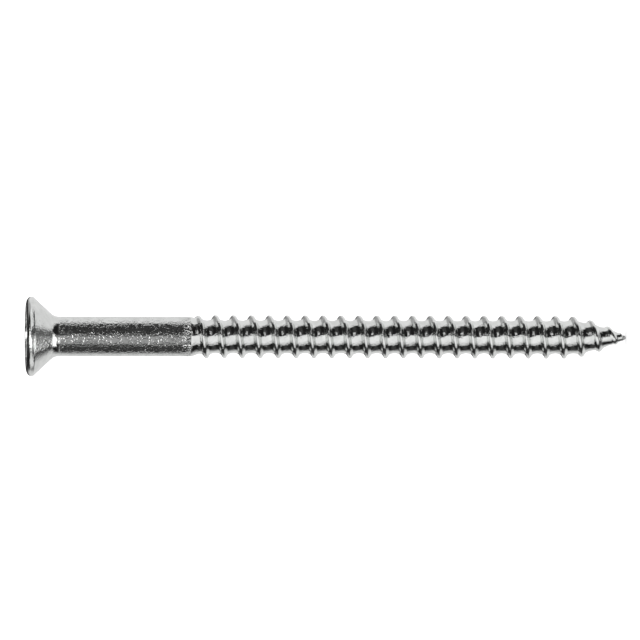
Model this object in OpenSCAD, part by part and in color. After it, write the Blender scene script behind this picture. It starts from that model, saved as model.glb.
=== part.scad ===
// Countersunk wood screw with a plain shank, a coarse right-hand thread and a gimlet point.
// The axis is Z. The middle of the head's flat face is the origin and the tip points down.

/* [Size] */
// Length from the head's flat face to the tip
screw_len = 70; // [60:1:90]
// Outside diameter of the thread, the screw's nominal size
thread_d = 5; // [4.8:0.1:5.4]
// Diameter of the plain shank
shank_d = 4.6; // [4.4:0.05:4.7]
// Diameter of the core between the turns of the thread
core_d = 3.78; // [3.6:0.02:4]

/* [Head] */
// Largest diameter of the head
head_d = 9.2; // [8.6:0.1:10]
// Angle across the cone under the head, in degrees
cone_angle = 86; // [80:1:92]
// Width of the rim's crown, from the flat face out to the edge
crown_w = 0.9; // [0.5:0.05:1.2]
// Drop of the rim's crown from the flat face to the edge
crown_h = 0.55; // [0.3:0.05:0.6]
// Depth below the flat face at which the rim turns into the cone
rim_h = 0.77; // [0.65:0.01:0.9]
// Rounding of the rim's edge where it turns into the cone
rim_r = 0.15; // [0.1:0.05:0.4]
// Rounding of the neck between the cone and the shank
neck_r = 1.4; // [0.8:0.1:1.8]

/* [Cross recess] */
// Span over opposite wings at the face
recess_span = 5; // [4.6:0.1:5.2]
// Width of each wing
wing_w = 1.05; // [0.9:0.05:1.2]
// Depth of the wings
recess_depth = 2.75; // [2.2:0.05:2.9]
// Slope of the wings' outer ends from the axis, in degrees
wing_slope = 26.5; // [20:0.5:28]
// Diameter of the middle of the recess at the face
recess_core_d = 2.7; // [2.2:0.1:3]

/* [Thread] */
// Rise of the thread in one turn
pitch = 2.09; // [1.9:0.01:2.4]
// Distance from the face to the shoulder, where the plain shank ends
shank_end = 19.05; // [15:0.05:30]
// Length of the taper from the shank down to the core
shoulder_len = 1.05; // [0.8:0.05:1.6]
// Distance from the shank's end to the first full crest, on the +X side
crest_lead = 2.97; // [2.5:0.01:4]
// Part of the pitch taken by the foot of the ridge
foot_share = 0.44; // [0.36:0.02:0.5]
// Part of the pitch taken by the flat crest of the ridge
crest_share = 0.12; // [0.06:0.02:0.2]

/* [Point] */
// Length of the tapered point
point_len = 6.2; // [5:0.1:7]
// Radius of the blunt tip
tip_r = 0.2; // [0.15:0.05:0.3]

/* [Hidden] */
$fn = 96;

STEEL = [0.80, 0.81, 0.80];
OVERCUT = 0.5;         // how far a cutting body passes the face it cuts
ARC_STEPS = 8;         // straight pieces in each rounded corner of the head's outline
BOTTOM_SLOPE = 20;     // slope of the recess's conical floor, in degrees
CORE_TAPER = 0.55;     // radius that the recess's middle loses over its depth
TICK_LEN = 2.0;        // reach of the diagonal tick marks beyond the recess's middle
TICK_W = 0.28;         // width of a tick mark
TICK_DEPTH = 0.14;     // depth of a tick mark
STATIONS = 24;         // points around each turn of the thread
RIDGE_GROWTH = 1.35;   // length over which the first turn grows out of the shoulder
RIDGE_START = 0.25;    // distance from the shank's end to where the ridge begins
FADE_LEAD = 1.2;       // distance above the point where the ridge begins to fade
FADE_SHARE = 0.63;     // part of the ridge's height lost evenly from there to the tip
END_SHARE = 0.32;      // part of the fade's length over which the rest of the ridge runs out
POINT_BEND = 1.5;      // how full the point's outline is; 1 is a straight cone

shank_r = shank_d / 2;
core_r = core_d / 2;
head_r = head_d / 2;
cone_half = cone_angle / 2;
full_ridge = (thread_d - core_d) / 2;

// Heights along the axis
cone_top = [head_r - rim_r + rim_r * cos(cone_half), -rim_h - rim_r * sin(cone_half)];
cone_run = (cone_top.x + neck_r * cos(cone_half) - shank_r - neck_r) / sin(cone_half);
neck_z = cone_top.y - cone_run * cos(cone_half) - neck_r * sin(cone_half);
shank_z = -shank_end;
first_crest = shank_end + crest_lead;
point_z = point_len - screw_len;
joint_z = point_z + FADE_LEAD;

// Points of an arc in the outline's plane, with its radius across and its radius along the axis
function arc(centre, across, along, from, to) =
    [for (i = [0:ARC_STEPS])
        let (a = from + (to - from) * i / ARC_STEPS)
        centre + [across * cos(a), along * sin(a)]];

// Outline of the head: flat face, crowned rim, straight rim, rounded edge, cone and hollow neck
function head_outline() = concat(
    [[0, 0]],
    arc([head_r - crown_w, -crown_h], crown_w, crown_h, 90, 0),
    arc([head_r - rim_r, -rim_h], rim_r, rim_r, 0, -cone_half),
    arc([shank_r + neck_r, neck_z], neck_r, neck_r, 180 - cone_half, 180),
    [[0, neck_z]]
);

// Radius of the body under the thread at height z
function body_radius(z) =
    let (shoulder = (shank_z - z) / shoulder_len,
         taper = (point_z - z) / point_len)
    shoulder < 1 ? shank_r + (core_r - shank_r) * max(0, shoulder) :
    taper > 0 ? tip_r + (core_r - tip_r) * (1 - pow(min(1, taper), POINT_BEND)) :
    core_r;

// Height of the ridge at height z: it grows at the shoulder and fades along the point
function ridge_height(z) =
    let (grown = (shank_z - RIDGE_START - z) / RIDGE_GROWTH,
         faded = min(1, max(0, (joint_z - z) / (point_len + FADE_LEAD))))
    full_ridge * min(1, max(0, grown)) * (1 - FADE_SHARE * faded) * min(1, (1 - faded) / END_SHARE);

// Share of the ridge's height at a distance from its crest, counted in turns
function ridge_shape(turns) =
    let (from_crest = abs(turns - round(turns)))
    min(1, max(0, (foot_share / 2 - from_crest) / (foot_share / 2 - crest_share / 2)));

// Height of the first full crest at an angle round the axis: a right-hand helix
function crest_z(angle) = -first_crest + pitch * angle / 360;

function surface_radius(angle, z) =
    body_radius(z) + ridge_height(z) * ridge_shape((crest_z(angle) - z) / pitch);

// Rows of points that follow the helix down one turn, as shares of the pitch below a crest
ROWS = [
    crest_share / 2,
    foot_share / 2,
    0.5 - foot_share / 8,
    0.5 + foot_share / 8,
    1 - foot_share / 2,
    1 - crest_share / 2
];

// The threaded body between two heights. Its rows follow the helix and stop at the end planes.
module threaded_body(top_z, bottom_z) {
    rows = len(ROWS);
    start_turn = -ceil((top_z + first_crest) / pitch + ROWS[0]);
    turns = ceil((-first_crest - bottom_z) / pitch) + 1 - start_turn;
    last_row = rows * turns;
    angles = [for (i = [0:STATIONS - 1]) 360 * i / STATIONS];

    function row_z(angle, row) =
        let (turn = start_turn + floor(row / rows) + ROWS[row % rows])
        max(bottom_z, min(top_z, crest_z(angle) - pitch * turn));

    points = [for (angle = angles, row = [0:last_row])
        let (z = row_z(angle, row), r = surface_radius(angle, z))
        [r * cos(angle), r * sin(angle), z]];

    // After a whole turn the rows have risen by one pitch, so they join the first station's rows
    function vertex(station, row) =
        station < STATIONS ? station * (last_row + 1) + row : max(0, row - rows);

    function is_triangle(face) =
        points[face[0]] != points[face[1]]
        && points[face[1]] != points[face[2]]
        && points[face[2]] != points[face[0]];

    sides = [for (i = [0:STATIONS - 1], row = [0:last_row - 1])
        let (a = vertex(i, row),
             b = vertex(i + 1, row),
             c = vertex(i + 1, row + 1),
             d = vertex(i, row + 1))
        each [[a, b, c], [a, c, d]]];

    top_cap = [for (i = [STATIONS - 1:-1:0]) vertex(i, 0)];
    bottom_cap = [for (i = [0:STATIONS - 1]) vertex(i, last_row)];

    polyhedron(
        points = points,
        faces = concat([top_cap, bottom_cap], [for (face = sides) if (is_triangle(face)) face]),
        convexity = 10
    );
}

// The cross recess: four tapered wings round a conical middle
module cross_recess() {
    wing_top_r = recess_span / 2;
    wing_floor_r = wing_top_r - recess_depth * tan(wing_slope);
    core_floor_r = recess_core_d / 2 - CORE_TAPER;
    floor_drop = core_floor_r * tan(BOTTOM_SLOPE);

    intersection() {
        translate([0, 0, -recess_depth])
            cylinder(h = recess_depth, r1 = wing_floor_r, r2 = wing_top_r);
        for (turn = [0, 90])
            rotate(turn)
                translate([-wing_top_r, -wing_w / 2, -recess_depth])
                    cube([recess_span, wing_w, recess_depth + OVERCUT]);
    }
    translate([0, 0, -recess_depth])
        cylinder(h = recess_depth, r1 = core_floor_r, r2 = recess_core_d / 2);
    translate([0, 0, -recess_depth - floor_drop])
        cylinder(h = floor_drop, r1 = 0, r2 = core_floor_r);
}

// The shallow diagonal marks between the wings
module tick_marks() {
    for (turn = [45:90:315])
        rotate(turn)
            translate([recess_core_d / 2 - OVERCUT, -TICK_W / 2, -TICK_DEPTH])
                cube([TICK_LEN + OVERCUT, TICK_W, TICK_DEPTH + OVERCUT]);
}

module head() {
    color(STEEL)
        difference() {
            rotate_extrude()
                polygon(head_outline());
            cross_recess();
            tick_marks();
        }
}

module shank() {
    color(STEEL)
        translate([0, 0, shank_z])
            cylinder(h = neck_z - shank_z, r = shank_r);
}

module thread() {
    color(STEEL)
        threaded_body(shank_z, joint_z);
}

module point() {
    color(STEEL)
        threaded_body(joint_z, -screw_len);
}

head();
shank();
thread();
point();
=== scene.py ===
import math

import bpy
import numpy as np
from mathutils import Matrix, Vector


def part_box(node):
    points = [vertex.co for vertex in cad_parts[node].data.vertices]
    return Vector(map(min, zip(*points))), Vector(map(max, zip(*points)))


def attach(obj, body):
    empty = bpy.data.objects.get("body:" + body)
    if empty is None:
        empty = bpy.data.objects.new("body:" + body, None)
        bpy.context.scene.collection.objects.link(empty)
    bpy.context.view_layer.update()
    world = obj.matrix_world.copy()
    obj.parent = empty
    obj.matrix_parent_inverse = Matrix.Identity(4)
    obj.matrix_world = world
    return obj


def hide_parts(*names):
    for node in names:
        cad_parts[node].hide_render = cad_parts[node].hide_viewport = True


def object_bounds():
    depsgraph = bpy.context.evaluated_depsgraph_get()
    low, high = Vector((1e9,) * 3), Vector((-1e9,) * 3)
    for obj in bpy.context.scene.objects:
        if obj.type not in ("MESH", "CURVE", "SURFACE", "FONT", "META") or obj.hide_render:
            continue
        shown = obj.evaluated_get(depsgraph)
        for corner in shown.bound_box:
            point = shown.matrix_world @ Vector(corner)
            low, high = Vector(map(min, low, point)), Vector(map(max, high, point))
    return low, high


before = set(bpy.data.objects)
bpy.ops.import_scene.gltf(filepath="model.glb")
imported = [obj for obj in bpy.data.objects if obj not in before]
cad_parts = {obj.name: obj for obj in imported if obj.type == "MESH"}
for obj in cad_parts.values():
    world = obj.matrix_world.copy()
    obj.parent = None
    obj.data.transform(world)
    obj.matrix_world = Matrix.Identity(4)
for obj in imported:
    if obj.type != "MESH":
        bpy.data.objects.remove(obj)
cad_low, cad_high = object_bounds()

# ---------------------------------------------------------------- sizes, in millimetres, axis on Z
MM = 0.001


def node_box(node):
    """Lowest and highest corner of a CAD node, in millimetres."""
    low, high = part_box(node)
    return Vector(low) / MM, Vector(high) / MM


head_low, head_high = node_box("head")
shank_low, shank_high = node_box("shank")
thread_low, thread_high = node_box("thread")
point_low = node_box("point")[0]

NECK_Z = head_low.z
SHANK_END_Z = shank_low.z
JOINT_Z = thread_low.z
TIP_Z = point_low.z

HEAD_R = head_high.x
SHANK_R = shank_high.x
CREST_R = thread_high.x
CORE_R = 1.89           # body between the turns

CROWN_W = 0.9           # width of the rim's crown, inwards from the edge
CROWN_H = 0.55          # drop of the crown from the flat face to the edge
RIM_H = 0.77            # depth below the flat face at which the rim turns into the cone
RIM_R = 0.15            # rounding of that edge
CONE_HALF = math.radians(43.0)      # half of the cone's angle
NECK_R = 1.4            # hollow between the cone and the shank

PITCH = 2.09            # rise of the thread in one turn
CREST_LEAD = 2.97       # from the shank's end to the first full crest, on the +X side
FOOT_HALF = 0.245       # half of the ridge's foot, in turns
CREST_HALF = 0.065      # half of the ridge's crest, in turns
RIDGE_ROUNDING = 0.25   # rounding of the ridge's crest and foot, as a share of its height
ROOT_HOLLOW = 0.12      # how much deeper the root is in its middle than beside the ridge

SHOULDER_SLOPE = 0.36   # radius lost per millimetre below the shank's end
SHOULDER_EDGE = 0.05    # how far the shoulder's edge is rounded, in radius
SHOULDER_FOOT = 0.06    # how far the shoulder's foot is rounded, in radius
SWELL_R = 0.09          # how much fuller the core starts out below the shoulder
SWELL_FROM = 1.0        # this swelling dies away from here on, measured from the shank's end
SWELL_LEN = 0.7         # and is down to about a third of itself after this length
RIDGE_START = 0.05      # the ridge grows out of the shoulder from this distance below the shank's end
RIDGE_FULL = 1.45       # and is full at this one

POINT_LEN = 6.2
POINT_BEND = 1.5        # how full the point's outline is; 1 is a straight cone
TIP_R = 0.2             # radius at which that outline would end
TIP_BALL = 0.3          # radius of the rounded tip
BALL_SHARE = 0.62       # height up to which the ball rounds the tip, as a share of its radius
FADE_LEAD = 1.2         # the ridge begins to fade this far above the point
FADE_SHARE = 0.63       # part of the ridge's height lost evenly from there to the tip
END_SHARE = 0.32        # part of the fade's length over which the rest of the ridge runs out
TIGHT_LEN = 1.35        # the turns draw together over this length above the tip
TIGHT_TURNS = 1.2       # and fit this many more turns into it


# ---------------------------------------------------------------- surface of the threaded body
NORMAL_STEP = 0.002     # step used to find the surface's slope, in radians and in millimetres
TINY = 1e-12            # keeps the length that a normal is divided by above zero


def smooth_max(a, b, reach):
    """Larger of a and b, with the corner between them rounded."""
    return np.maximum(a, b) + np.maximum(reach - np.abs(a - b), 0.0) ** 2 / (4.0 * reach)


def smooth_min(a, b, reach):
    """Smaller of a and b, with the corner between them rounded."""
    return -smooth_max(-a, -b, reach)


def smooth_step(x):
    """Runs from 0 to 1 with level ends as x runs from 0 to 1."""
    t = np.clip(x, 0.0, 1.0)
    return t * t * (3.0 - 2.0 * t)


def crest_height(angle):
    """Height of the first full crest at an angle round the axis: a right-hand helix."""
    return SHANK_END_Z - CREST_LEAD + PITCH * angle / (2.0 * math.pi)


def body_radius(z):
    """Radius under the thread: shank, shoulder, core, point and rounded tip."""
    below = SHANK_END_Z - z
    edge_start = SHOULDER_EDGE / SHOULDER_SLOPE
    shoulder = SHANK_R - SHOULDER_SLOPE * (below - edge_start)
    core = CORE_R + SWELL_R * np.exp(-np.maximum(below - SWELL_FROM, 0.0) / SWELL_LEN)
    upper = smooth_max(smooth_min(SHANK_R, shoulder, SHOULDER_EDGE), core, SHOULDER_FOOT)

    point_start = TIP_Z + POINT_LEN
    along = np.clip((point_start - z) / POINT_LEN, 0.0, 1.0)
    taper = TIP_R + (CORE_R - TIP_R) * (1.0 - along ** POINT_BEND)
    ball = np.sqrt(np.maximum(TIP_BALL ** 2 - (TIP_Z + TIP_BALL - z) ** 2, 0.0))
    in_ball = z < TIP_Z + BALL_SHARE * TIP_BALL
    lower = np.where(in_ball, np.minimum(ball, taper), taper)
    return np.where(z > point_start, upper, lower)


def ridge_height(z):
    """Height of the ridge: it grows out of the shoulder, fades along the point and runs out at the tip."""
    below = SHANK_END_Z - z
    grown = smooth_step((below - RIDGE_START) / (RIDGE_FULL - RIDGE_START))
    fade_start = TIP_Z + POINT_LEN + FADE_LEAD
    faded = np.clip((fade_start - z) / (POINT_LEN + FADE_LEAD), 0.0, 1.0)
    run_out = smooth_step((1.0 - faded) / END_SHARE) ** 0.5
    return (CREST_R - CORE_R) * grown * (1.0 - FADE_SHARE * faded) * run_out


def ridge_shape(turns):
    """Share of the ridge's height at a distance from its crest, in turns. The root is a little hollow."""
    away = np.abs(turns - np.round(turns))
    flank = (FOOT_HALF - away) / (FOOT_HALF - CREST_HALF)
    from_middle = np.minimum(1.0, (0.5 - away) / (0.5 - FOOT_HALF))
    root = ROOT_HOLLOW / (CREST_R - CORE_R) * from_middle ** 2
    return smooth_max(root, smooth_min(1.0, flank, RIDGE_ROUNDING), RIDGE_ROUNDING)


def surface_radius(angle, z):
    tightened = np.clip((TIP_Z + TIGHT_LEN - z) / TIGHT_LEN, 0.0, 1.0)
    turns = (crest_height(angle) - z) / PITCH + TIGHT_TURNS * tightened ** 2
    return body_radius(z) + ridge_height(z) * ridge_shape(turns)


def surface_point(angle, z):
    r = surface_radius(angle, z)
    return np.stack([r * np.cos(angle), r * np.sin(angle), z], axis=-1)


def surface_normal(angle, z):
    """Outward unit normal, from small steps round and along the surface."""
    around = surface_point(angle + NORMAL_STEP, z) - surface_point(angle - NORMAL_STEP, z)
    along = surface_point(angle, z + NORMAL_STEP) - surface_point(angle, z - NORMAL_STEP)
    normal = np.cross(around, along)
    length = np.linalg.norm(normal, axis=-1, keepdims=True)
    return normal / np.maximum(length, TINY)


# ---------------------------------------------------------------- mesh building
SHARP = math.radians(40)    # edges sharper than this stay sharp in the shading of the head and the shank


def make_piece(name, points_mm, faces, material, normals=None):
    """A mesh object from points in millimetres, smooth shaded with its own normals or sharp at its edges."""
    mesh = bpy.data.meshes.new(name)
    mesh.from_pydata([tuple(p) for p in np.asarray(points_mm) * MM], [], faces)
    mesh.validate()
    mesh.polygons.foreach_set("use_smooth", [True] * len(mesh.polygons))
    if normals is None:
        mesh.set_sharp_from_angle(angle=SHARP)
    else:
        mesh.normals_split_custom_set(normals)
    mesh.update()
    mesh.materials.append(material)
    piece = bpy.data.objects.new(name, mesh)
    bpy.context.scene.collection.objects.link(piece)
    return piece


def lift(contour, z):
    """Points of a flat contour, at a height."""
    return np.column_stack([contour, np.full(len(contour), z)])


def rings_to_mesh(rings, start_at_apex):
    """Joins closed rings of equal length with quads. The end is closed flat, the start flat or in an apex."""
    count = len(rings[0])
    points = [tuple(p) for ring in rings for p in ring]
    faces = []
    for k in range(len(rings) - 1):
        for i in range(count):
            j = (i + 1) % count
            faces.append([k * count + i, (k + 1) * count + i, (k + 1) * count + j, k * count + j])
    if start_at_apex:
        apex = len(points)
        points.append(tuple(np.mean(rings[0], axis=0)))
        faces.extend([[apex, i, (i + 1) % count] for i in range(count)])
    else:
        faces.append(list(range(count)))
    last = (len(rings) - 1) * count
    faces.append([last + i for i in reversed(range(count))])
    return points, faces


# ---------------------------------------------------------------- thread and point
STATIONS = 96           # points round each turn
END_GAP = 1e-4          # rows closer than this to an end plane are left out, in millimetres
TIP_GAP = 1e-6          # a body thinner than this at its lower end closes in one point, in millimetres


def helix_rows(top_z, bottom_z, ridge_rows, root_rows):
    """Distances of the rows below the first full crest, in turns, and the number of rows in one turn."""
    ridge = np.linspace(-FOOT_HALF, FOOT_HALF, ridge_rows)
    root = np.linspace(FOOT_HALF, 1.0 - FOOT_HALF, root_rows + 2)[1:-1]
    phases = np.concatenate([ridge, root])
    first_turn = math.floor((crest_height(0.0) - top_z) / PITCH) - 1
    last_turn = math.ceil((crest_height(0.0) - bottom_z) / PITCH) + 2
    rows = np.concatenate([phases + turn for turn in range(first_turn, last_turn)])
    return rows, len(phases)


def wall_faces(columns):
    """Faces between neighbouring columns of points, without the corners that fall together."""
    faces = []
    for left, right in zip(columns[:-1], columns[1:]):
        for row in range(len(left) - 1):
            corners = [left[row], left[row + 1], right[row + 1], right[row]]
            face = [int(c) for k, c in enumerate(corners) if c != corners[k - 1]]
            if len(set(face)) >= 3:
                faces.append(face)
    return faces


def threaded_piece(name, top_z, bottom_z, material, ridge_rows, root_rows):
    """The threaded body between two heights. Rows of points follow the helix and stop at the end planes."""
    rows, rows_per_turn = helix_rows(top_z, bottom_z, ridge_rows, root_rows)
    points, normals, columns = [], [], []
    for station in range(STATIONS):
        angle = 2.0 * math.pi * station / STATIONS
        z = crest_height(angle) - PITCH * rows
        inner = np.nonzero((z < top_z - END_GAP) & (z > bottom_z + END_GAP))[0]
        heights = np.concatenate([[top_z], z[inner], [bottom_z]])
        # Rows above the top plane share the column's first point, and rows below the bottom plane its last
        first_point, last_point = len(points), len(points) + 1 + len(inner)
        column = np.full(len(z), first_point)
        column[inner] = np.arange(first_point + 1, last_point)
        column[inner[-1] + 1:] = last_point
        columns.append(column)
        points.extend(surface_point(angle, heights))
        normals.extend(surface_normal(angle, heights))

    ends_in_tip = surface_radius(0.0, np.array(bottom_z)) < TIP_GAP
    if ends_in_tip:
        tip = len(points)
        points.append(np.array([0.0, 0.0, bottom_z]))
        normals.append(np.array([0.0, 0.0, -1.0]))
        for column in columns:
            column[column == column[-1]] = tip

    # After a whole turn the rows have risen by one pitch, so they join the first column's rows
    first = columns[0]
    joined = np.concatenate([np.full(rows_per_turn, first[0]), first[:-rows_per_turn]])
    faces = wall_faces(columns + [joined])
    loop_normals = [normals[c] for face in faces for c in face]

    top_ring = [int(column[0]) for column in columns]
    faces.append(top_ring)
    loop_normals.extend([(0.0, 0.0, 1.0)] * len(top_ring))
    if not ends_in_tip:
        bottom_ring = [int(column[-1]) for column in reversed(columns)]
        faces.append(bottom_ring)
        loop_normals.extend([(0.0, 0.0, -1.0)] * len(bottom_ring))

    used = sorted({c for face in faces for c in face})
    renumber = {old: new for new, old in enumerate(used)}
    kept_points = [points[c] for c in used]
    kept_faces = [[renumber[c] for c in face] for face in faces]
    return make_piece(name, kept_points, kept_faces, material, [tuple(n) for n in loop_normals])


# ---------------------------------------------------------------- shank
SHANK_SEGMENTS = 192
SHANK_RINGS = 12


def shank_piece(material):
    angles = [2 * math.pi * i / SHANK_SEGMENTS for i in range(SHANK_SEGMENTS)]
    circle = np.array([(math.cos(a), math.sin(a)) for a in angles])
    rings = [lift(circle * SHANK_R, z) for z in np.linspace(NECK_Z, SHANK_END_Z, SHANK_RINGS)]
    points, faces = rings_to_mesh(rings, start_at_apex=False)
    return make_piece("plain_shank", points, faces, material)


# ---------------------------------------------------------------- head
RECESS_SPAN_R = 2.5         # wings' reach at the face
RECESS_DEPTH = 2.75
WING_HALF = 0.525           # half of a wing's width at the face
WING_SLOPE = math.tan(math.radians(26.5))       # reach that a wing loses per millimetre of depth
WING_DRAFT = math.tan(math.radians(2.0))        # half width that it loses
MIDDLE_R = 1.35             # round middle of the recess at the face
MIDDLE_TAPER = 0.2          # radius that the middle loses per millimetre of depth
FLOOR_DROP = 0.29           # depth of the recess's conical floor
MOUTH_R = 0.09              # rounded edge of the recess
RECESS_TURN = 0.0           # one pair of wings lies along X

TICK_HALF_W = 0.15          # half of the width of the diagonal marks between the wings
TICK_DEPTH = 0.12
TICK_REACH = 3.3            # their outer end, from the axis
TICK_FADE = 0.35            # length over which they run out there
TICK_GAP = 0.05             # their inner end, beyond the recess's middle
TICK_RISE = 0.1             # length over which they deepen there

# Points along each eighth of the recess's outline
WING_END_POINTS = 5
WING_SIDE_POINTS = 8
MIDDLE_POINTS = 12

# Rings of points over each part of the head, those of the recess's floor as shares of its outline
FLOOR_SHARES = (0.15, 0.4, 0.7)
WALL_RINGS = 16
MOUTH_RINGS = 5
FACE_RINGS = 14
CROWN_RINGS = 16
EDGE_RINGS = 6
CONE_RINGS = 8
NECK_RINGS = 16


def turned(x, y, angle):
    """The place x, y turned round the axis."""
    return x * math.cos(angle) - y * math.sin(angle), x * math.sin(angle) + y * math.cos(angle)


def steps(start, end, count):
    """Even steps from start to end, without start itself."""
    return np.linspace(start, end, count + 1)[1:]


def cross_contour(spread, depth):
    """Outline of the recess at a depth, widened by spread: wing ends, wing sides and round middle."""
    reach = RECESS_SPAN_R + spread - WING_SLOPE * depth
    half = WING_HALF + spread - WING_DRAFT * depth
    middle = MIDDLE_R + spread - MIDDLE_TAPER * depth
    end_angle = math.asin(half / reach)
    middle_angle = math.asin(half / middle)
    outer_x = reach * math.cos(end_angle)
    inner_x = middle * math.cos(middle_angle)

    octant = []
    for t in np.linspace(0.0, 1.0, WING_END_POINTS, endpoint=False):
        angle = end_angle * t
        octant.append((reach * math.cos(angle), reach * math.sin(angle)))
    for t in np.linspace(0.0, 1.0, WING_SIDE_POINTS, endpoint=False):
        octant.append((outer_x + (inner_x - outer_x) * t, half))
    for t in np.linspace(0.0, 1.0, MIDDLE_POINTS):
        angle = middle_angle + (math.pi / 4 - middle_angle) * t
        octant.append((middle * math.cos(angle), middle * math.sin(angle)))
    mirrored = [(y, x) for x, y in reversed(octant[:-1])]
    quarter = (octant + mirrored)[:-1]
    turns = [RECESS_TURN + k * math.pi / 2 for k in range(4)]
    return np.array([turned(x, y, turn) for turn in turns for x, y in quarter])


def tick_depth(x, y):
    """Depth of the shallow diagonal marks between the wings."""
    u, v = turned(x, y, -RECESS_TURN - math.pi / 4)
    along = np.maximum(np.abs(u), np.abs(v))
    across = np.minimum(np.abs(u), np.abs(v))
    fade = smooth_step((TICK_REACH - along) / TICK_FADE)
    rise = smooth_step((along - MIDDLE_R - TICK_GAP) / TICK_RISE)
    return TICK_DEPTH * fade * rise * np.maximum(0.0, 1.0 - across / TICK_HALF_W)


def recess_rings():
    """Rings of the recess, from its conical floor up the walls and over the rounded mouth."""
    floor = cross_contour(0.0, RECESS_DEPTH)
    rings = [lift(floor * s, -RECESS_DEPTH - FLOOR_DROP * (1.0 - s)) for s in FLOOR_SHARES]
    for depth in np.linspace(RECESS_DEPTH, MOUTH_R, WALL_RINGS):
        rings.append(lift(cross_contour(0.0, depth), -depth))
    for a in steps(0.0, math.pi / 2, MOUTH_RINGS):
        spread = MOUTH_R * (1.0 - math.cos(a))
        rings.append(lift(cross_contour(spread, 0.0), -MOUTH_R * (1.0 - math.sin(a))))
    return rings


def face_rings(inner, directions):
    """Rings of the flat face, from the recess's mouth to the crown, with the diagonal marks pressed in."""
    flat_r = HEAD_R - CROWN_W
    rings = []
    for t in steps(0.0, 1.0, FACE_RINGS):
        flat = inner + (directions * flat_r - inner) * t
        rings.append(np.column_stack([flat, -tick_depth(flat[:, 0], flat[:, 1])]))
    return rings


def side_outline():
    """Radius and height down the side of the head: crown, rim, rounded edge, cone and hollow neck."""
    outline = []
    for a in steps(math.pi / 2, 0.0, CROWN_RINGS):
        outline.append((HEAD_R - CROWN_W + CROWN_W * math.cos(a), -CROWN_H * (1.0 - math.sin(a))))
    for a in np.linspace(0.0, -CONE_HALF, EDGE_RINGS):
        outline.append((HEAD_R - RIM_R + RIM_R * math.cos(a), RIM_R * math.sin(a) - RIM_H))
    top_r, top_z = outline[-1]
    cone_r = SHANK_R + NECK_R * (1.0 - math.cos(CONE_HALF))
    cone_z = NECK_Z + NECK_R * math.sin(CONE_HALF)
    for t in steps(0.0, 1.0, CONE_RINGS):
        outline.append((top_r + (cone_r - top_r) * t, top_z + (cone_z - top_z) * t))
    for a in steps(CONE_HALF, 0.0, NECK_RINGS):
        outline.append((SHANK_R + NECK_R * (1.0 - math.cos(a)), NECK_Z + NECK_R * math.sin(a)))
    return outline


def head_piece(material):
    mouth = cross_contour(MOUTH_R, 0.0)
    directions = mouth / np.linalg.norm(mouth, axis=1, keepdims=True)
    sides = [lift(directions * r, z) for r, z in side_outline()]
    rings = recess_rings() + face_rings(mouth, directions) + sides
    points, faces = rings_to_mesh(rings, start_at_apex=True)
    return make_piece("countersunk_head", points, faces, material)


# ---------------------------------------------------------------- materials
NOISE_LOW = 0.35            # most of a noise texture's values lie between these two
NOISE_HIGH = 0.65
NOISE_MIDDLE = 0.5
TONE_SIZE = 1.1             # size of the lighter and darker patches, in millimetres
TONE_DETAIL = 4.0
GLOSS_SIZE = 0.3            # size of the smoother and duller patches, in millimetres
FINE_DETAIL = 2.0
RELIEF_ROUGHNESS = 0.6      # how strong the finer parts of the grooves' and dents' noise are
GROOVE_HALF = 0.09          # half of a groove's width, in values of its noise
SCUFF_FACTOR = 3.0          # how much deeper the grooves are where the metal is scuffed


def new_material(name):
    material = bpy.data.materials.new(name)
    material.use_nodes = True
    return material, material.node_tree.nodes, material.node_tree.links


def noise_node(nodes, links, coords, size, detail, roughness=0.5):
    """Noise whose patches have about the given size in millimetres."""
    node = nodes.new("ShaderNodeTexNoise")
    node.inputs["Scale"].default_value = 1.0 / (size * MM)
    node.inputs["Detail"].default_value = detail
    node.inputs["Roughness"].default_value = roughness
    links.new(coords, node.inputs["Vector"])
    return node.outputs["Fac"]


def map_range(nodes, links, value, from_low, from_high, to_low, to_high):
    node = nodes.new("ShaderNodeMapRange")
    node.inputs["From Min"].default_value = from_low
    node.inputs["From Max"].default_value = from_high
    node.inputs["To Min"].default_value = to_low
    node.inputs["To Max"].default_value = to_high
    links.new(value, node.inputs["Value"])
    return node.outputs["Result"]


def groove_height(nodes, links, coords, spacing):
    """Height across thin wandering grooves: 0 where the noise has its middle value, 1 beside that line."""
    wander = noise_node(nodes, links, coords, spacing, FINE_DETAIL, RELIEF_ROUGHNESS)
    from_line = nodes.new("ShaderNodeMath")
    from_line.operation = "SUBTRACT"
    from_line.inputs[1].default_value = NOISE_MIDDLE
    links.new(wander, from_line.inputs[0])
    distance = nodes.new("ShaderNodeMath")
    distance.operation = "ABSOLUTE"
    links.new(from_line.outputs["Value"], distance.inputs[0])
    return map_range(nodes, links, distance.outputs["Value"], 0.0, GROOVE_HALF, 0.0, 1.0)


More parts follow.
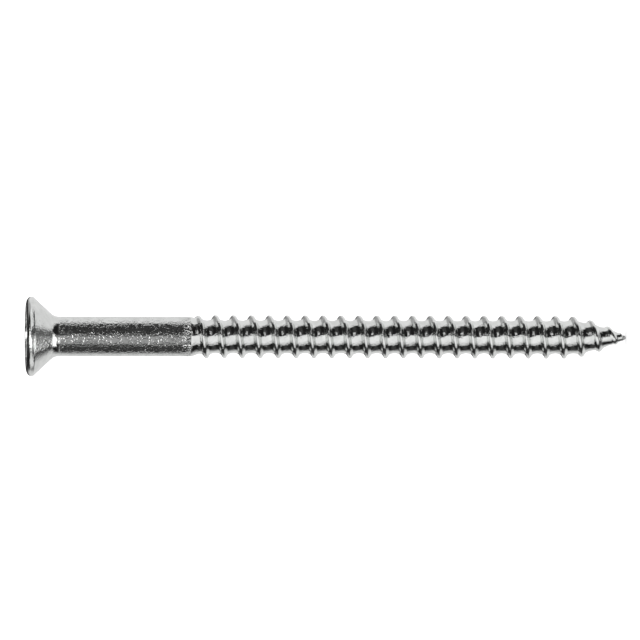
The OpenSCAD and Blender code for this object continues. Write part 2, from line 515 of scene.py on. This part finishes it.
def plated_metal(name, tones, roughness, grooves, dents, scuffed=None):
    """Bright plating with uneven tone and gloss, thin grooves and shallow dents.

    tones and roughness are the lowest and the highest value, grooves are depth and spacing, and dents are
    depth and size. From the first to the second height in scuffed the grooves grow deeper, and they stay so
    beyond it. Lengths are in millimetres.
    """
    material, nodes, links = new_material(name)
    shader = nodes["Principled BSDF"]
    shader.inputs["Metallic"].default_value = 1.0
    place = nodes.new("ShaderNodeTexCoord").outputs["Object"]

    tone = noise_node(nodes, links, place, TONE_SIZE, TONE_DETAIL)
    ramp = nodes.new("ShaderNodeValToRGB")
    for element, position, colour in zip(ramp.color_ramp.elements, (NOISE_LOW, NOISE_HIGH), tones):
        element.position = position
        element.color = (*colour, 1.0)
    links.new(tone, ramp.inputs["Fac"])
    links.new(ramp.outputs["Color"], shader.inputs["Base Color"])

    gloss = noise_node(nodes, links, place, GLOSS_SIZE, FINE_DETAIL)
    roughness_here = map_range(nodes, links, gloss, NOISE_LOW, NOISE_HIGH, *roughness)
    links.new(roughness_here, shader.inputs["Roughness"])

    groove_depth, groove_spacing = grooves
    groove_bump = nodes.new("ShaderNodeBump")
    groove_bump.inputs["Distance"].default_value = groove_depth * MM
    links.new(groove_height(nodes, links, place, groove_spacing), groove_bump.inputs["Height"])
    if scuffed:
        split = nodes.new("ShaderNodeSeparateXYZ")
        links.new(place, split.inputs["Vector"])
        depth_here = map_range(nodes, links, split.outputs["Z"], scuffed[0] * MM, scuffed[1] * MM,
                               groove_depth * MM, SCUFF_FACTOR * groove_depth * MM)
        links.new(depth_here, groove_bump.inputs["Distance"])

    dent_depth, dent_size = dents
    dent_bump = nodes.new("ShaderNodeBump")
    dent_bump.inputs["Distance"].default_value = dent_depth * MM
    dent_height = noise_node(nodes, links, place, dent_size, FINE_DETAIL, RELIEF_ROUGHNESS)
    links.new(dent_height, dent_bump.inputs["Height"])
    links.new(groove_bump.outputs["Normal"], dent_bump.inputs["Normal"])
    links.new(dent_bump.outputs["Normal"], shader.inputs["Normal"])
    return material


def matt_white(name, brightness):
    material, nodes, links = new_material(name)
    nodes.clear()
    shader = nodes.new("ShaderNodeBsdfDiffuse")
    shader.inputs["Color"].default_value = (brightness, brightness, brightness, 1.0)
    output = nodes.new("ShaderNodeOutputMaterial")
    links.new(shader.outputs["BSDF"], output.inputs["Surface"])
    return material


# ---------------------------------------------------------------- the screw
head_metal = plated_metal(
    "pressed_head",
    tones=((0.76, 0.77, 0.76), (0.84, 0.85, 0.84)),
    roughness=(0.07, 0.12),
    grooves=(0.004, 0.4),
    dents=(0.022, 0.25),
)
shank_metal = plated_metal(
    "drawn_shank",
    tones=((0.74, 0.75, 0.74), (0.86, 0.87, 0.86)),
    roughness=(0.04, 0.08),
    grooves=(0.018, 0.5),
    dents=(0.012, 0.3),
    scuffed=(SHANK_END_Z + 1.1, SHANK_END_Z + 0.3),
)
thread_metal = plated_metal(
    "rolled_thread",
    tones=((0.78, 0.79, 0.78), (0.88, 0.89, 0.88)),
    roughness=(0.02, 0.05),
    grooves=(0.006, 0.6),
    dents=(0.024, 0.4),
)

head = head_piece(head_metal)
shank = shank_piece(shank_metal)
thread = threaded_piece("wood_thread", SHANK_END_Z, JOINT_Z, thread_metal, ridge_rows=17, root_rows=9)
point = threaded_piece("gimlet_point", JOINT_Z, TIP_Z, thread_metal, ridge_rows=25, root_rows=25)
pieces = [
    (head, "head", "plated_steel"),
    (shank, "shank", "plated_steel"),
    (thread, "thread", "rolled_thread"),
    (point, "point", "rolled_thread"),
]
for piece, node, slot in pieces:
    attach(piece, "root")
    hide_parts(node)


# ---------------------------------------------------------------- stage
FLOOR_HALF = 4.0            # half of the floor's side, in metres
FLOOR_TONE = 0.9


def make_floor():
    mesh = bpy.data.meshes.new("floor")
    corners = [(-FLOOR_HALF, -FLOOR_HALF), (FLOOR_HALF, -FLOOR_HALF),
               (FLOOR_HALF, FLOOR_HALF), (-FLOOR_HALF, FLOOR_HALF)]
    mesh.from_pydata([(x, y, cad_low.z) for x, y in corners], [], [[0, 1, 2, 3]])
    mesh.materials.append(matt_white("floor_white", FLOOR_TONE))
    floor = bpy.data.objects.new("floor", mesh)
    bpy.context.scene.collection.objects.link(floor)
    floor.visible_glossy = False


# Soft boxes of the studio as seen from the object. Azimuth runs from the camera's side (-Y) towards +X.
# A box has the degrees over which it rises and falls in azimuth, the same in elevation, and its brightness.
FROM_START = (-400.0, -390.0)       # a rise before the first angle, so that the box has no lower edge
TO_END = (390.0, 400.0)             # a fall after the last angle, so that it has no upper edge
SOFT_BOXES = [
    # dim strip beside the camera, and the faint glow round it
    ((-58.0, -34.0), (-6.0, 16.0), (-80.0, -66.0), (70.0, 84.0), 0.37),
    ((-120.0, -100.0), (80.0, 90.0), (-30.0, -16.0), (8.0, 22.0), 0.045),
    # white tent behind, on the +X side and on the -X side, open right behind the object
    ((80.0, 86.0), TO_END, (-80.0, -74.0), (0.0, 2.0), 0.78),
    ((80.0, 86.0), (150.0, 174.0), (-4.0, 2.0), (20.0, 36.0), 0.78),
    ((80.0, 86.0), (150.0, 174.0), (-4.0, 2.0), (48.0, 56.0), 0.42),
    (FROM_START, (-134.0, -97.0), (-64.0, -46.0), (0.0, 2.0), 0.74),
    ((-174.0, -150.0), (-134.0, -97.0), (-4.0, 2.0), (18.0, 34.0), 0.74),
    # top of the tent, the dim floor, and a brighter patch of it in front, on the -X side
    (FROM_START, (-140.0, -110.0), (58.0, 70.0), TO_END, 0.45),
    (FROM_START, TO_END, FROM_START, (-78.0, -58.0), 0.12),
    ((-160.0, -60.0), (-40.0, 60.0), FROM_START, (-70.0, -50.0), 0.24),
]
DARKEST = 0.012             # brightness of the room between the boxes
FLOOR_LIGHT = 1.5           # brightness of the light on the floor


def make_world():
    """Soft boxes in a dark room for the metal to reflect, and even white light for the floor."""
    world = bpy.data.worlds.new("studio")
    bpy.context.scene.world = world
    world.use_nodes = True
    nodes, links = world.node_tree.nodes, world.node_tree.links
    nodes.clear()

    def math_node(operation, *values):
        node = nodes.new("ShaderNodeMath")
        node.operation = operation
        for socket, value in zip(node.inputs, values):
            if isinstance(value, float):
                socket.default_value = value
            else:
                links.new(value, socket)
        return node.outputs["Value"]

    def ramp(value, start, end):
        node = nodes.new("ShaderNodeMapRange")
        node.interpolation_type = "SMOOTHSTEP"
        node.inputs["From Min"].default_value = start
        node.inputs["From Max"].default_value = end
        links.new(value, node.inputs["Value"])
        return node.outputs["Result"]

    def window(value, rise, fall):
        return math_node("MULTIPLY", ramp(value, *rise), math_node("SUBTRACT", 1.0, ramp(value, *fall)))

    direction = nodes.new("ShaderNodeTexCoord").outputs["Generated"]
    split = nodes.new("ShaderNodeSeparateXYZ")
    links.new(direction, split.inputs["Vector"])
    towards_camera = math_node("MULTIPLY", split.outputs["Y"], -1.0)
    turn = math_node("ARCTAN2", split.outputs["X"], towards_camera)
    azimuth = math_node("MULTIPLY", turn, math.degrees(1.0))
    elevation = math_node("MULTIPLY", math_node("ARCSINE", split.outputs["Z"]), math.degrees(1.0))

    room = None
    for azimuth_rise, azimuth_fall, elevation_rise, elevation_fall, value in SOFT_BOXES:
        across = window(azimuth, azimuth_rise, azimuth_fall)
        upwards = window(elevation, elevation_rise, elevation_fall)
        box = math_node("MULTIPLY", math_node("MULTIPLY", across, upwards), value)
        room = box if room is None else math_node("MAXIMUM", room, box)
    room = math_node("MAXIMUM", room, DARKEST)

    is_reflected = nodes.new("ShaderNodeLightPath").outputs["Is Glossy Ray"]
    reflected = math_node("MULTIPLY", is_reflected, room)
    direct = math_node("MULTIPLY", math_node("SUBTRACT", 1.0, is_reflected), FLOOR_LIGHT)
    background = nodes.new("ShaderNodeBackground")
    background.inputs["Color"].default_value = (1.0, 1.0, 1.0, 1.0)
    links.new(math_node("ADD", reflected, direct), background.inputs["Strength"])
    output = nodes.new("ShaderNodeOutputWorld")
    links.new(background.outputs["Background"], output.inputs["Surface"])


LIGHT_DISTANCE = 1.0        # from the middle of the screw to each light panel, in metres


def span(degrees):
    """Side of a panel that the object sees under an angle."""
    return 2.0 * LIGHT_DISTANCE * math.tan(math.radians(degrees / 2.0))


def make_panel(name, azimuth, elevation, width, height, brightness, lit_pieces):
    """A flat soft box square to the object, its place and size in degrees as the object sees it.

    Only the lit pieces reflect it.
    """
    light = bpy.data.lights.new(name, "AREA")
    light.shape = "RECTANGLE"
    light.size = span(width)
    light.size_y = span(height)
    light.energy = math.pi * brightness * light.size * light.size_y
    panel = bpy.data.objects.new(name, light)
    bpy.context.scene.collection.objects.link(panel)
    a, e = math.radians(azimuth), math.radians(elevation)
    outward = Vector((math.sin(a) * math.cos(e), -math.cos(a) * math.cos(e), math.sin(e)))
    centre = (cad_low + cad_high) / 2
    right = Vector((math.cos(a), math.sin(a), 0.0))
    facing = Matrix((right, outward.cross(right), outward)).transposed().to_4x4()
    panel.matrix_world = Matrix.Translation(centre + outward * LIGHT_DISTANCE) @ facing
    panel.visible_camera = False
    panel.visible_diffuse = False
    lit = bpy.data.collections.new(name + "_lights")
    for piece in lit_pieces:
        lit.objects.link(piece)
    panel.light_linking.receiver_collection = lit


CAMERA_RISE = math.radians(4.8)
CAMERA_ROLL = math.radians(0.13)
CAMERA_DISTANCE = 0.827             # from the middle of the screw, in metres
LENS = 400.0
SENSOR = 36.0
OFF_CENTRE = (-0.00081, 0.00197)    # aim, sideways and upwards from the middle of the screw, in metres


def make_camera():
    """A long lens a little above the horizon, rolled so that the head is on the left and +X is up."""
    back = Vector((0.0, -math.cos(CAMERA_RISE), math.sin(CAMERA_RISE)))
    up = Vector((1.0, 0.0, 0.0))
    right = up.cross(back)
    camera_data = bpy.data.cameras.new("camera")
    camera_data.lens = LENS
    camera_data.sensor_width = SENSOR
    camera_data.clip_end = 20.0
    camera = bpy.data.objects.new("camera", camera_data)
    bpy.context.scene.collection.objects.link(camera)
    centre = (cad_low + cad_high) / 2
    aim = centre + right * OFF_CENTRE[0] + up * OFF_CENTRE[1]
    axes = Matrix((right, up, back)).transposed() @ Matrix.Rotation(CAMERA_ROLL, 3, "Z")
    camera.matrix_world = Matrix.Translation(aim + back * CAMERA_DISTANCE) @ axes.to_4x4()
    bpy.context.scene.camera = camera


make_floor()
make_world()
# broad panel in front, a little to the -X side, for the thread
make_panel("thread_panel", -27.0, 0.0, 68.0, 130.0, 0.53, [thread, point])
# one panel on either side, for the head's cone and rim
make_panel("head_right_panel", 54.0, 26.0, 60.0, 60.0, 0.78, [head])
make_panel("head_left_panel", -80.0, 26.0, 50.0, 60.0, 0.74, [head])
# two strong panels that the shank's grooves and dents catch, as bright specks
make_panel("speck_panel_above", -18.0, 34.0, 44.0, 14.0, 3.0, [shank])
make_panel("speck_panel_below", -18.0, -44.0, 44.0, 14.0, 3.0, [shank])
# small panel for the edge light on the thread
make_panel("thread_edge_panel", 26.0, -14.0, 16.0, 22.0, 0.6, [thread, point])
# spot and line at the neck, and glint on the head's crown
make_panel("neck_panel", -37.0, -56.0, 44.0, 44.0, 1.6, [head])
make_panel("neck_line_panel", -24.0, -10.0, 30.0, 9.0, 1.4, [head])
make_panel("crown_panel", -25.0, 60.0, 26.0, 80.0, 1.6, [head])
make_camera()
bpy.context.scene.view_settings.view_transform = "Standard"
